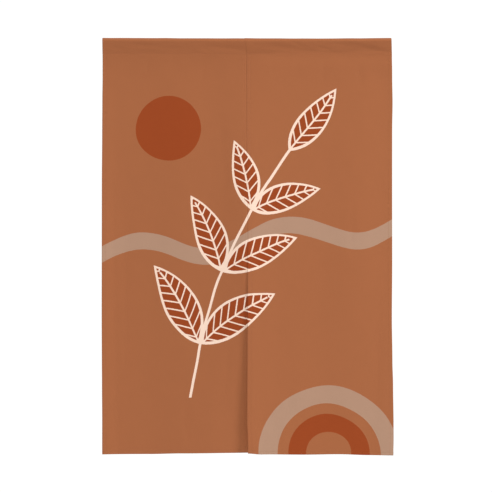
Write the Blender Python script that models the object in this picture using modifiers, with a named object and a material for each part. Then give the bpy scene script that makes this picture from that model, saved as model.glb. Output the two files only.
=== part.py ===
"""A door curtain: two long cloth panels side by side under one rod pocket.

A seam joins the panels over their upper half. Below it they part as a slit, with the
right panel's edge in front and the left panel's edge fallen back behind it.
Metres, Z up. X runs across the doorway, and the curtain's front faces -Y.
The origin is the middle of the pocket's top edge, where a rod carries the curtain.
"""

import math

import bmesh
import bpy
import numpy as np

NAME = "door_curtain"

# The cloth
CLOTH = 0.0012  # thickness of one layer
HEM_CLOTH = 0.0024  # thickness of a hem, which is two layers
GAP = 0.0003  # between pieces that are sewn together

# The rod pocket
POCKET_DROP = 0.046  # from the top edge down to the sewn line
POCKET_RADIUS = 0.0085  # of its rounded top, out to the cloth's face
BACK_LAP = 0.010  # how far its back layer runs on below the sewn line
BACK_FOOT = 0.0042  # how far behind the front face the back layer's own face lies there
POCKET_ENDS = (-0.4184, 0.4138)  # its left and right ends
END_SLANT = 0.0018  # its right end is drawn in by this at the top edge
SLANT_WIDTH = 0.060  # of the stretch beside that end which is drawn in with it

# The panels
HEM = 0.012  # width of the outer side hems
BOTTOM_HEM = 0.009  # width of the bottom hem
INNER_HEM_LEFT = 0.018  # width of the left panel's hem beside the seam
INNER_HEM_RIGHT = 0.012  # width of the right panel's hem beside the seam
LAP = 0.009  # how far the left panel reaches behind the right one
TUCK_WIDTH = 0.040  # of the strip over which it steps back to get there
SEAM_END = 0.590  # the seam ends this far below the top edge, and the slit begins
HEM_STEP = 0.0008  # distance over which the cloth doubles at a hem's sewn line

# Below the pocket the cloth still leans back a little, then hangs plumb.
LEAN = 0.008
LEAN_LENGTH = 0.060

# How the slit's two edges hang apart at the bottom
SWING_BACK = 0.017  # of the left panel's inner edge
SWING_WIDTH = 0.120  # of the part of the left panel that turns back with it
SWING_FORWARD = 0.004  # of the right panel's inner edge
FORWARD_WIDTH = 0.050

# Triangles are kept few: the cloth bends only gently.
COLUMNS = 15
ROWS = 34
POCKET_COLUMNS = 34
LEG_STEPS = 4
ARC_STEPS = 9

# The outer edges: drop below the top edge, left edge, right edge
EDGES = (
    (0.046, -0.4182, 0.4138),
    (0.110, -0.4184, 0.4150),
    (0.185, -0.4192, 0.4163),
    (0.270, -0.4196, 0.4152),
    (0.420, -0.4204, 0.4151),
    (0.640, -0.4205, 0.4154),
    (0.810, -0.4207, 0.4143),
    (0.930, -0.4202, 0.4158),
    (1.000, -0.4198, 0.4176),
    (1.110, -0.4193, 0.4189),
    (1.150, -0.4194, 0.4191),
    (1.202, -0.4195, 0.4182),
)

# The bottom hem: position across, drop of the left panel, drop of the right panel
BOTTOM = (
    (-0.4195, 1.1979, 1.1979),
    (-0.2800, 1.1976, 1.1976),
    (-0.1900, 1.1955, 1.1955),
    (-0.0600, 1.1940, 1.1940),
    (0.0000, 1.1937, 1.1942),
    (0.0400, 1.1937, 1.1974),
    (0.1700, 1.1937, 1.1989),
    (0.2600, 1.1937, 1.1979),
    (0.3500, 1.1937, 1.2005),
    (0.4179, 1.1937, 1.2012),
)

# The folds, as soft ridges (forward) and hollows (minus): position across at the hem,
# sideways shift at the pocket, half width, then how far forward the cloth stands
# just below the pocket, halfway down and at the bottom hem
FOLDS = (
    (-0.4195, 0.000, 0.050, 0.0008, 0.0056, 0.0056),
    (-0.2900, -0.010, 0.110, -0.0015, -0.0014, -0.0020),
    (-0.1050, 0.000, 0.100, -0.0020, -0.0028, -0.0008),
    (0.0000, 0.000, 0.300, 0.0000, 0.0080, 0.0100),
    (0.0000, 0.000, 0.100, -0.0010, 0.0060, 0.0066),
    (0.2900, 0.010, 0.100, 0.0005, 0.0044, 0.0014),
    (0.4179, 0.000, 0.090, -0.0025, -0.0036, 0.0042),
)

# The seam and the slit aren't quite plumb: drop, sideways shift of both panels there
SEAM = (
    (0.046, -0.0038),
    (0.360, -0.0034),
    (0.560, -0.0008),
    (0.760, -0.0004),
    (0.900, -0.0014),
    (1.100, -0.0024),
    (1.155, -0.0002),
    (1.202, 0.0004),
)
SEAM_NEAR, SEAM_FAR = 0.030, 0.180  # the shift is whole this near, and none this far

# The pocket is a little uneven along its length:
# position across, dip of its top edge, how full it is
POCKET_SHAPE = (
    (-0.4184, 0.0000, 0.92),
    (-0.2600, 0.0005, 1.00),
    (-0.1600, 0.0011, 0.96),
    (0.0300, 0.0012, 1.02),
    (0.2000, 0.0017, 0.90),
    (0.3100, 0.0011, 1.04),
    (0.4138, 0.0003, 0.94),
)

# Colours are linear: the printed cloth's ground, a little darker on the left panel
MATERIALS = {
    "heading": (0.390, 0.138, 0.057),
    "panel_left": (0.386, 0.136, 0.056),
    "panel_right": (0.406, 0.139, 0.059),
}
CLOTH_ROUGHNESS = 0.9


def eased(table, column, at):
    """A table's column read at any place, easing in and out of each row."""
    rows = np.array(table)
    row = np.clip(np.searchsorted(rows[:, 0], at) - 1, 0, len(rows) - 2)
    start, end = rows[row, 0], rows[row + 1, 0]
    part = np.clip((at - start) / (end - start), 0, 1)
    part = part * part * (3 - 2 * part)
    return rows[row, column] * (1 - part) + rows[row + 1, column] * part


def bell(distance, half_width):
    """1 at no distance, falling as half a cosine wave to 0 at the half width."""
    return 0.5 + 0.5 * np.cos(math.pi * np.clip(distance / half_width, -1, 1))


def cloth_forward(x, drop):
    """How far the hanging cloth stands forward: the sum of the folds at that drop."""
    down = np.clip((drop - POCKET_DROP) / (EDGES[-1][0] - POCKET_DROP), 0, 1)
    forward = np.zeros_like(x)
    for across, shift, half_width, top, middle, bottom in FOLDS:
        depth = np.interp(down, (0, 0.5, 1), (top, middle, bottom))
        forward += depth * bell(x - across - shift * (1 - down), half_width)
    return forward * np.clip(down / 0.06, 0, 1)


def lean_back(drop):
    """The short stretch under the pocket where the cloth still slopes to the back."""
    return LEAN * (1 - np.exp(-np.maximum(drop - POCKET_DROP, 0) / LEAN_LENGTH))


def slit_opening(drop):
    """0 along the seam, growing evenly to 1 at the bottom hem."""
    return np.clip((drop - SEAM_END) / (EDGES[-1][0] - SEAM_END), 0, 1) ** 1.1


def seam_shift(x, drop):
    """Sideways shift of the cloth: the seam's own, fading out on both sides of it."""
    part = np.clip((np.abs(x) - SEAM_NEAR) / (SEAM_FAR - SEAM_NEAR), 0, 1)
    return eased(SEAM, 1, drop) * (1 - part * part * (3 - 2 * part))


def hems_grow(drop):
    """0 where the pocket's back layer is sewn over the panels, 1 where their hems begin."""
    return np.clip((drop - POCKET_DROP - BACK_LAP) / HEM, 0, 1)


def left_face(x, drop):
    """Depth of the left panel's front face: its hem passes behind the right panel's."""
    tuck = CLOTH + (HEM_CLOTH - CLOTH) * hems_grow(drop) + GAP
    under = np.clip((x + TUCK_WIDTH) / TUCK_WIDTH, 0, 1)
    under = under * under * (3 - 2 * under)
    swing = SWING_BACK * slit_opening(drop) * bell(np.minimum(x - LAP, 0), SWING_WIDTH)
    return lean_back(drop) - cloth_forward(x, drop) + tuck * under + swing


def right_face(x, drop):
    """Depth of the right panel's front face."""
    forward = SWING_FORWARD * slit_opening(drop) * bell(np.maximum(x, 0), FORWARD_WIDTH)
    return lean_back(drop) - cloth_forward(x, drop) - forward


def grid_lines(length, from_start, from_end, count):
    """Places along a length: the given ones from each end, and even steps between."""
    ends = [length - place for place in from_end]
    between = np.linspace(from_start[-1], ends[0], count + 1)[1:-1]
    return np.concatenate([from_start, between, ends])


def cloth_material(name):
    material = bpy.data.materials.new(name)
    material.use_nodes = True
    shader = material.node_tree.nodes["Principled BSDF"]
    shader.inputs["Base Color"].default_value = (*MATERIALS[name], 1)
    shader.inputs["Roughness"].default_value = CLOTH_ROUGHNESS
    shader.inputs["Metallic"].default_value = 0
    return material


def cloth_object(name, collection, grid, hemmed=None):
    """A sheet through a grid of points, thickened to its back, and doubled where hemmed.

    grid is rows x columns x 3, with the columns running along +X on the front face,
    and hemmed says of each of its points whether it is in a hem.
    """
    rows, columns = grid.shape[:2]
    sheet = bmesh.new()
    bmesh.ops.create_grid(sheet, x_segments=columns - 1, y_segments=rows - 1, size=1)
    mesh = bpy.data.meshes.new(name)
    sheet.to_mesh(mesh)
    sheet.free()
    flat = np.empty(len(mesh.vertices) * 3)
    mesh.vertices.foreach_get("co", flat)
    flat = flat.reshape(-1, 3)
    column = np.rint((flat[:, 0] + 1) / 2 * (columns - 1)).astype(int)
    row = np.rint((flat[:, 1] + 1) / 2 * (rows - 1)).astype(int)
    mesh.vertices.foreach_set("co", grid[row, column].ravel())
    mesh.update()
    mesh.shade_smooth()
    mesh.materials.append(cloth_material(name))
    piece = bpy.data.objects.new(name, mesh)
    collection.objects.link(piece)

    solid = piece.modifiers.new("cloth", "SOLIDIFY")
    solid.thickness = CLOTH
    solid.offset = -1
    solid.use_even_offset = True
    if hemmed is not None:
        group = piece.vertex_groups.new(name="hem")
        group.add(np.flatnonzero(hemmed[row, column]).tolist(), 1, "REPLACE")
        solid.vertex_group = group.name
        solid.thickness = HEM_CLOTH
        solid.thickness_vertex_group = CLOTH / HEM_CLOTH
    return piece


def panel(name, collection, left_edge, right_edge, face, bottom_column, lines, hems):
    """One panel: its columns run between its two edges, its rows from pocket to hem.

    left_edge and right_edge give the place of an edge at each drop, lines are the
    columns beside the two edges, and hems the widths of the two side hems.
    """
    top = POCKET_DROP + GAP
    length, width = EDGES[-1][0] - top, right_edge(EDGES[-1][0]) - left_edge(EDGES[-1][0])
    across = grid_lines(width, *lines, COLUMNS)
    hem_lines = (BOTTOM_HEM, BOTTOM_HEM - HEM_STEP, 0)
    down = grid_lines(length, (0, BACK_LAP, BACK_LAP + HEM), hem_lines, ROWS)[::-1]
    across, down = np.meshgrid(across, down)
    start, end = left_edge(top + down), right_edge(top + down)
    x = start + across / width * (end - start)
    drop = top + down / length * (eased(BOTTOM, bottom_column, x) - top)
    grid = np.stack([x + seam_shift(x, drop), face(x, drop), -drop], axis=-1)

    in_hem = (across < hems[0] - HEM_STEP / 2) | (width - across < hems[1] - HEM_STEP / 2)
    in_hem |= length - down < BOTTOM_HEM - HEM_STEP / 2
    in_hem &= down > BACK_LAP + HEM / 2
    return cloth_object(name, collection, grid, in_hem)


def panel_left(collection):
    outer_lines = (0, HEM - HEM_STEP, HEM)
    tuck_lines = (LAP + TUCK_WIDTH, LAP + TUCK_WIDTH / 2)
    inner_lines = (*tuck_lines, INNER_HEM_LEFT, INNER_HEM_LEFT - HEM_STEP, LAP, 0)
    return panel(
        "panel_left",
        collection,
        lambda drop: eased(EDGES, 1, drop),
        lambda drop: np.full_like(drop, LAP, dtype=float),
        left_face,
        1,
        (outer_lines, inner_lines),
        (HEM, INNER_HEM_LEFT),
    )


def panel_right(collection):
    inner_lines = (0, INNER_HEM_RIGHT - HEM_STEP, INNER_HEM_RIGHT)
    outer_lines = (HEM, HEM - HEM_STEP, 0)
    return panel(
        "panel_right",
        collection,
        lambda drop: np.zeros_like(drop, dtype=float),
        lambda drop: eased(EDGES, 2, drop),
        right_face,
        2,
        (inner_lines, outer_lines),
        (INNER_HEM_RIGHT, HEM),
    )


def pocket_section(radius):
    """The pocket's outer face in section, as (depth, height) rows, from the sewn line
    up the front, round the top and down the back to the end of the back layer.

    Each leg is a straight line from its foot that touches the circle of the top.
    """
    rise = POCKET_DROP - radius
    front_half = math.asin(radius / rise)
    back_reach = math.hypot(BACK_FOOT, rise)
    back_turn = math.atan2(BACK_FOOT, rise) - math.asin(radius / back_reach)
    turn = np.linspace(math.pi + front_half, back_turn, ARC_STEPS + 1)
    arc = np.stack([radius * np.cos(turn), radius * np.sin(turn) - radius], axis=1)
    front_foot, back_foot = (0, -POCKET_DROP), (BACK_FOOT, -POCKET_DROP)
    front = np.linspace(front_foot, arc[0], LEG_STEPS + 1)[:-1]
    back = np.linspace(arc[-1], back_foot, LEG_STEPS + 1)[1:]
    drops = POCKET_DROP + BACK_LAP * np.array([0.5, 1])
    lap = np.stack([BACK_FOOT + lean_back(drops), -drops], axis=1)
    return np.concatenate([front, arc, back, lap])


def heading(collection):
    """The pocket: one strip of cloth folded over to the back."""
    acrosses = np.linspace(*POCKET_ENDS, POCKET_COLUMNS + 1)
    dips = eased(POCKET_SHAPE, 1, acrosses)
    fulls = eased(POCKET_SHAPE, 2, acrosses)
    sections = []
    for x, dip, full in zip(acrosses, dips, fulls, strict=True):
        depth, height = pocket_section(POCKET_RADIUS * full).T
        # The dip and the slant fade to nothing at the sewn line.
        upper = np.clip(1 + height / POCKET_DROP, 0, 1)
        lowered = height - dip * upper
        drawn = END_SLANT * np.clip(1 + (x - POCKET_ENDS[1]) / SLANT_WIDTH, 0, 1)
        sections.append(np.stack([x - drawn * upper, depth, lowered], axis=1))
    grid = np.stack(sections, axis=1)
    return cloth_object("heading", collection, grid)


def main():
    for old in list(bpy.data.objects):
        bpy.data.objects.remove(old)
    collection = bpy.data.collections.new(NAME)
    bpy.context.scene.collection.children.link(collection)
    heading(collection)
    panel_left(collection)
    panel_right(collection)


main()
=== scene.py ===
# %% [markdown]
# # A door curtain in printed cloth
#
# This lesson dresses the plain solids of a door curtain: two long cloth panels
# that hang from one rod pocket, sewn together above and open as a slit below.
# The solids give the true size and the main folds. The cells below make the thin
# cloth on those folds, its folded hems, its stitches and its print, then light it.
# Everything is in metres. X runs to the right, Z up, and the front faces -Y.

# %% Load the solids
import math

import bpy
import numpy as np
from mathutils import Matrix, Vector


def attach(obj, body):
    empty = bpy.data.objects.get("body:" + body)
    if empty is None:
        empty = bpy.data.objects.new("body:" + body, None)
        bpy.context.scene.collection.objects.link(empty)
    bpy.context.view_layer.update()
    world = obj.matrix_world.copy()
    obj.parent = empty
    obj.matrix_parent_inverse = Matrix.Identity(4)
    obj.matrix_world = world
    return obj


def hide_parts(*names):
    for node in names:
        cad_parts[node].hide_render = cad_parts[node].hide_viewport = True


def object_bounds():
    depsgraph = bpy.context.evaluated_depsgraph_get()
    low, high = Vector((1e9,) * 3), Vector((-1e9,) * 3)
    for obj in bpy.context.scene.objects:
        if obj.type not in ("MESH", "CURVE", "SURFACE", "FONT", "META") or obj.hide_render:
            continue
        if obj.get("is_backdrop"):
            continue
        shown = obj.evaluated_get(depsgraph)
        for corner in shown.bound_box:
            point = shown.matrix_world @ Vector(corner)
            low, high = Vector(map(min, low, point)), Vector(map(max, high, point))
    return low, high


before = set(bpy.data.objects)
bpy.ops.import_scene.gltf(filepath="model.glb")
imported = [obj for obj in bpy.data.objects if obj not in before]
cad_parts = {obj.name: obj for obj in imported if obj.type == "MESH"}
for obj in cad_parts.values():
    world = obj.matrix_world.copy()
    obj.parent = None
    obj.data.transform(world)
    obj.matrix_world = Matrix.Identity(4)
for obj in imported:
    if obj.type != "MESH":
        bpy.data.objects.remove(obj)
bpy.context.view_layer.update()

# %% [markdown]
# ## The photograph's scale
#
# The camera looks straight at the curtain, so one number turns the picture's
# pixels into metres. The curtain's seam stands on pixel column 248 and its top
# edge on row 38, and the 1.2 m of cloth covers 417 rows.

# %% Scale and camera
PICTURE_PIXELS = 492
METRES_A_PIXEL = 0.002876
SEAM_PIXEL, TOP_PIXEL = 248, 37.9
CAMERA_DISTANCE = 6.0
SENSOR_MM = 36


def add_object(name, data):
    """A new object with this mesh, lamp or camera, in the scene."""
    made = bpy.data.objects.new(name, data)
    bpy.context.scene.collection.objects.link(made)
    return made


def make_camera():
    """A long lens at a distance, level with the picture's middle, so nothing tapers."""
    middle = PICTURE_PIXELS / 2
    camera = add_object("camera", bpy.data.cameras.new("camera"))
    camera.location = (
        (middle - SEAM_PIXEL) * METRES_A_PIXEL,
        -CAMERA_DISTANCE,
        (TOP_PIXEL - middle) * METRES_A_PIXEL,
    )
    camera.rotation_euler = (math.pi / 2, 0, 0)
    camera.data.sensor_width = SENSOR_MM
    camera.data.lens = SENSOR_MM * CAMERA_DISTANCE / (PICTURE_PIXELS * METRES_A_PIXEL)
    bpy.context.scene.camera = camera
    print("lens", round(camera.data.lens, 1), "mm at", CAMERA_DISTANCE, "m")


make_camera()

# %% [markdown]
# ## The sizes of the cloth
#
# These are the sizes of the solids, written out again because this script reads
# nothing but the frame. The tables hold one row for each fold or stretch of edge,
# and a function eases between their rows.

# %% Sizes shared with the solids
POCKET_DROP = 0.046  # from the top edge down to the sewn line of the pocket
POCKET_RADIUS = 0.0085
BACK_LAP = 0.010  # how far the pocket's back layer runs on below the sewn line
BACK_FOOT = 0.0042  # depth of the back layer's face at the sewn line
POCKET_ENDS = (-0.4184, 0.4138)
END_SLANT, SLANT_WIDTH = 0.0018, 0.060  # its right end is drawn in towards the top
HEM = 0.012
BOTTOM_HEM = 0.009
INNER_HEM_LEFT = 0.018
INNER_HEM_RIGHT = 0.012
LAP = 0.009  # how far the left panel reaches behind the right one
SEAM_END = 0.590
LEAN, LEAN_LENGTH = 0.008, 0.060
SWING_BACK, SWING_WIDTH = 0.017, 0.120
SWING_FORWARD, FORWARD_WIDTH = 0.004, 0.050

# Drop below the top edge, left edge, right edge
EDGES = (
    (0.046, -0.4182, 0.4138),
    (0.110, -0.4184, 0.4150),
    (0.185, -0.4192, 0.4163),
    (0.270, -0.4196, 0.4152),
    (0.420, -0.4204, 0.4151),
    (0.640, -0.4205, 0.4154),
    (0.810, -0.4207, 0.4143),
    (0.930, -0.4202, 0.4158),
    (1.000, -0.4198, 0.4176),
    (1.110, -0.4193, 0.4189),
    (1.150, -0.4194, 0.4191),
    (1.202, -0.4195, 0.4182),
)
FULL_DROP = EDGES[-1][0]  # down to the lowest point of the hem
PANEL_LENGTH = FULL_DROP - POCKET_DROP
# Position across, drop of the left panel's hem, drop of the right panel's hem
BOTTOM = (
    (-0.4195, 1.1979, 1.1979),
    (-0.2800, 1.1976, 1.1976),
    (-0.1900, 1.1955, 1.1955),
    (-0.0600, 1.1940, 1.1940),
    (0.0000, 1.1937, 1.1942),
    (0.0400, 1.1937, 1.1974),
    (0.1700, 1.1937, 1.1989),
    (0.2600, 1.1937, 1.1979),
    (0.3500, 1.1937, 1.2005),
    (0.4179, 1.1937, 1.2012),
)
# Position across at the hem, sideways shift at the pocket, half width, then how far
# forward the cloth stands just below the pocket, halfway down and at the hem
FOLDS = (
    (-0.4195, 0.000, 0.050, 0.0008, 0.0056, 0.0056),
    (-0.2900, -0.010, 0.110, -0.0015, -0.0014, -0.0020),
    (-0.1050, 0.000, 0.100, -0.0020, -0.0028, -0.0008),
    (0.0000, 0.000, 0.300, 0.0000, 0.0080, 0.0100),
    (0.0000, 0.000, 0.100, -0.0010, 0.0060, 0.0066),
    (0.2900, 0.010, 0.100, 0.0005, 0.0044, 0.0014),
    (0.4179, 0.000, 0.090, -0.0025, -0.0036, 0.0042),
)
# Drop, sideways shift of the seam and of the cloth beside it
SEAM = (
    (0.046, -0.0038),
    (0.360, -0.0034),
    (0.560, -0.0008),
    (0.760, -0.0004),
    (0.900, -0.0014),
    (1.100, -0.0024),
    (1.155, -0.0002),
    (1.202, 0.0004),
)
SEAM_NEAR, SEAM_FAR = 0.030, 0.180  # the shift is whole this near, and none this far
# Position across, dip of the pocket's top edge, how full the pocket is
POCKET_SHAPE = (
    (-0.4184, 0.0000, 0.92),
    (-0.2600, 0.0005, 1.00),
    (-0.1600, 0.0011, 0.96),
    (0.0300, 0.0012, 1.02),
    (0.2000, 0.0017, 0.90),
    (0.3100, 0.0011, 1.04),
    (0.4138, 0.0003, 0.94),
)


def eased(table, column, at):
    """A table's column read at any place, with a smooth step between two rows."""
    rows = np.array(table)
    row = np.clip(np.searchsorted(rows[:, 0], at) - 1, 0, len(rows) - 2)
    start, end = rows[row, 0], rows[row + 1, 0]
    part = smooth((at - start) / (end - start))
    return rows[row, column] * (1 - part) + rows[row + 1, column] * part


def smooth(part):
    """The smooth step 3p^2 - 2p^3 of a part that is first held between 0 and 1."""
    part = np.clip(part, 0, 1)
    return part * part * (3 - 2 * part)


def bell(distance, half_width):
    """Half a cosine wave: 1 at no distance, 0 at the half width and beyond."""
    return 0.5 + 0.5 * np.cos(math.pi * np.clip(distance / half_width, -1, 1))


print("the panels hang", round(PANEL_LENGTH, 3), "m below the pocket")

# %% [markdown]
# ## How the cloth hangs
#
# A hanging sheet is a depth for each place across and each drop below the rod.
# The depth here is a sum of simple parts, as a dressmaker would name them: the
# broad folds, the short stretch that leans back under the pocket, the tuck where
# the left panel's hem passes behind the right one, and the opening of the slit.

# %% Broad folds and the slit
FOLDS_GROW = 0.06  # the folds grow from nothing over this share of the panels' length
OPENING_POWER = 1.1
# How far back each step of the tuck goes, where it starts across and its width
TUCK_STEPS = ((0.0004, -0.0140, 0.0140), (0.0015, -0.0016, 0.0018))


def cloth_forward(x, drop):
    """The sum of the folds: each is a bell across, with its depth read at the drop."""
    down = np.clip((drop - POCKET_DROP) / PANEL_LENGTH, 0, 1)
    forward = np.zeros_like(x)
    for across, shift, half_width, top, middle, bottom in FOLDS:
        depth = np.interp(down, (0, 0.5, 1), (top, middle, bottom))
        forward += depth * bell(x - across - shift * (1 - down), half_width)
    return forward * np.clip(down / FOLDS_GROW, 0, 1)


def lean_back(drop):
    """A slope under the pocket that dies away as exp(-distance / LEAN_LENGTH)."""
    return LEAN * (1 - np.exp(-np.maximum(drop - POCKET_DROP, 0) / LEAN_LENGTH))


def seam_shift(x, drop):
    """The seam's own shift at that drop, fading out with the distance from the seam."""
    part = (np.abs(x) - SEAM_NEAR) / (SEAM_FAR - SEAM_NEAR)
    return eased(SEAM, 1, drop) * (1 - smooth(part))


def slit_opening(drop):
    """0 along the seam, then the share of the way to the hem, to a power."""
    return np.clip((drop - SEAM_END) / (FULL_DROP - SEAM_END), 0, 1) ** OPENING_POWER


def left_face(x, drop):
    """Front face of the left panel: folds, plus the tuck, plus the swing back.

    The tuck is one gentle step over 14 mm and a last steep one under the right
    panel's rounded edge, so that the two cloths look flush along the seam.
    """
    tuck = sum(back * smooth((x - start) / width) for back, start, width in TUCK_STEPS)
    swing = SWING_BACK * slit_opening(drop) * bell(np.minimum(x - LAP, 0), SWING_WIDTH)
    return lean_back(drop) - cloth_forward(x, drop) + tuck + swing


def right_face(x, drop):
    """Front face of the right panel: folds, less the swing forward of its edge."""
    forward = SWING_FORWARD * slit_opening(drop) * bell(np.maximum(x, 0), FORWARD_WIDTH)
    return lean_back(drop) - cloth_forward(x, drop) - forward


slit_foot = np.zeros(1), np.array([FULL_DROP])
print("at the bottom the slit gapes", left_face(*slit_foot) - right_face(*slit_foot))

# %% [markdown]
# ## Creases, puckers and grooves
#
# The smaller marks are what makes cloth look sewn. A crease is a soft trough laid
# where the photograph shows one. A sewn line pulls the cloth in along a narrow
# groove, and the thread gathers it into small puckers on both sides.

# %% Creases laid one by one
# Position across, drop, slope in degrees, half length, half width, depth
PANEL_CREASES = (
    (0.000, 0.640, 90, 0.640, 0.020, -0.0015),
    (-0.4195, 0.760, 90, 0.680, 0.022, -0.0034),
    (-0.372, 0.700, 91, 0.470, 0.010, -0.0010),
    (-0.352, 0.760, 90, 0.400, 0.014, 0.0007),
    (-0.290, 0.090, 82, 0.050, 0.009, 0.0007),
    (-0.205, 0.085, 97, 0.045, 0.008, 0.0006),
    (-0.128, 0.100, 86, 0.055, 0.009, 0.0006),
    (-0.070, 0.330, 93, 0.230, 0.013, 0.0006),
    (-0.040, 0.640, 68, 0.080, 0.008, 0.0008),
    (-0.060, 0.960, 86, 0.200, 0.012, 0.0009),
    (-0.180, 1.080, 94, 0.150, 0.013, 0.0008),
    (0.030, 0.650, 108, 0.070, 0.008, 0.0007),
    (0.075, 0.095, 94, 0.050, 0.008, 0.0006),
    (0.140, 0.080, 78, 0.040, 0.007, 0.0007),
    (0.215, 0.100, 86, 0.060, 0.009, 0.0008),
    (0.299, 0.540, 90, 0.150, 0.009, 0.0010),
    (0.322, 0.110, 99, 0.060, 0.009, 0.0007),
    (0.372, 0.930, 88, 0.240, 0.012, 0.0010),
    (0.120, 1.060, 92, 0.160, 0.013, 0.0008),
)
POCKET_CREASES = (
    (-0.375, 0.030, -5, 0.040, 0.0050, 0.0004),
    (-0.300, 0.021, -2, 0.070, 0.0060, 0.0005),
    (-0.205, 0.031, -4, 0.060, 0.0060, 0.0004),
    (-0.118, 0.035, -30, 0.022, 0.0050, 0.0006),
    (-0.060, 0.030, -4, 0.110, 0.0090, 0.0010),
    (0.130, 0.031, -6, 0.120, 0.0090, 0.0012),
    (0.145, 0.019, -20, 0.034, 0.0050, 0.0007),
    (0.215, 0.030, -12, 0.040, 0.0050, 0.0007),
    (0.275, 0.020, -10, 0.040, 0.0050, 0.0006),
    (0.325, 0.024, -14, 0.070, 0.0070, 0.0008),
    (0.330, 0.034, -4, 0.100, 0.0090, 0.0010),
    (0.372, 0.034, -12, 0.045, 0.0070, 0.0005),
)
GROOVE_DEPTH, GROOVE_WIDTH = 0.00016, 0.0012
PUCKER_DEPTH, PUCKER_WIDTH, PUCKER_LENGTH = 0.00028, 0.0065, 0.0125
PUCKER_WANDER = ((1.9, 47), (1.0, 131))  # sines that shift the puckers along the line
PUCKER_LEAST = 0.10  # the weakest pucker, as a share of the strongest
COCKLE_DEPTH = 0.00022


def creases(table, across, drop):
    """Troughs: a bell along each crease's own direction times exp(-(aside / width)^2)."""
    depth = np.zeros_like(across)
    for x, start_drop, slope, half_length, half_width, deep in table:
        turn = math.radians(slope)
        right, up = across - x, start_drop - drop
        along = right * math.cos(turn) + up * math.sin(turn)
        aside = up * math.cos(turn) - right * math.sin(turn)
        depth += deep * bell(along, half_length) * np.exp(-((aside / half_width) ** 2))
    return depth


def sewn_relief(distance, along):
    """A groove on the sewn line, and puckers whose length wanders with two sines.

    Their strength swells and fades with a third, slower sine.
    """
    groove = GROOVE_DEPTH * np.exp(-((distance / GROOVE_WIDTH) ** 2))
    phase = 2 * math.pi * along / PUCKER_LENGTH
    for far, pace in PUCKER_WANDER:
        phase = phase + far * np.sin(along * pace)
    swell = (1 + PUCKER_LEAST) / 2 + (1 - PUCKER_LEAST) / 2 * np.sin(along * 29 + 1.3)
    pucker = PUCKER_DEPTH * np.exp(-((distance / PUCKER_WIDTH) ** 2)) * np.sin(phase) * swell
    return groove + pucker


def cockle(across, drop):
    """Faint unevenness of the whole cloth: three crossing sine waves of strength 1,
    0.8 and 0.6, added up and divided by the sum of their strengths."""
    waves = np.sin(across * 61 + 2.1 * np.sin(drop * 9) + 0.4)
    waves += 0.8 * np.sin(drop * 34 + 2.6 * np.sin(across * 7 + 1.0))
    waves += 0.6 * np.sin(across * 97 - drop * 41 + 1.7)
    return COCKLE_DEPTH * waves / 2.4


print(len(PANEL_CREASES), "creases on the panels and", len(POCKET_CREASES), "on the pocket")

# %% [markdown]
# ## A folded hem
#
# The edge of a curtain is folded twice, so its raw edge lies hidden inside. Seen
# along the edge that is a small coil: the front layer, a round fold at the edge, the
# back layer, a tighter fold at the sewn line, and a short layer between the two.
# The profile below is that coil. It is carried along every edge of the cloth.

# %% The hem's profile
CLOTH = 0.0005  # thickness of the woven cloth
LAYERS = 0.00056  # from the middle of one layer to the middle of the next
TURNED_UNDER = 0.002  # the hidden raw edge stops this far short of the fold
STITCH_INSET = 0.0016  # the sewn line runs this far inside the hem's inner fold
FIRST_ROW = 0.0025  # from the edge to the front layer's first row
# The front layer's other rows, in millimetres before and after the sewn line
BESIDE_LINE = np.array([-4.5, -2.6, -1.3, -0.6, 0, 0.6, 1.3, 2.6, 4.5, 7.0])


def arc(centre, radius, start, end, steps):
    """Points of a round fold, as (inset, depth) rows: centre + radius (cos, sin)."""
    turn = np.radians(np.linspace(start, end, steps))
    return np.array(centre) + radius * np.stack([np.cos(turn), np.sin(turn)], axis=1)


def run_along(points):
    """Distance along rows of points from the first one: the sum of the steps."""
    steps = np.linalg.norm(np.diff(points, axis=0), axis=-1)
    return np.concatenate([np.zeros_like(steps[:1]), np.cumsum(steps, axis=0)])


def hem_profile(width):
    """Insets from the edge, depths behind the front layer, and places on the flat cloth.

    The flat place of a point is its distance along the profile, measured so that it
    equals the inset on the front layer. It runs below zero round the fold.
    """
    hidden = np.linspace((TURNED_UNDER, LAYERS), (width - LAYERS, LAYERS), 4)
    inner_fold = arc((width - LAYERS / 2, 1.5 * LAYERS), LAYERS / 2, -90, 90, 5)
    back = np.linspace((width - LAYERS, 2 * LAYERS), (2 * LAYERS, 2 * LAYERS), 5)
    edge_fold = arc((LAYERS, LAYERS), LAYERS, 90, 270, 7)
    insets = np.concatenate([[FIRST_ROW], width - STITCH_INSET + BESIDE_LINE / 1000])
    front = np.stack([insets, np.zeros_like(insets)], axis=1)
    points = np.concatenate([hidden, inner_fold, back, edge_fold, front])
    flat = run_along(points)
    return points[:, 0], points[:, 1], flat - flat[-1] + points[-1, 0]


print("a hem takes", round(1000 * (HEM - hem_profile(HEM)[2][0]), 1), "mm of flat cloth")

# %% [markdown]
# ## From a grid to a sheet of cloth
#
# Every sheet here is a grid of points, worked out as one array, with one quad
# between each four neighbours. The places on the flat cloth become its UV map, in
# metres, so that weave and print follow the cloth round its folds. A Solidify
# modifier gives the grid the cloth's thickness, and a second material for its back.

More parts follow.
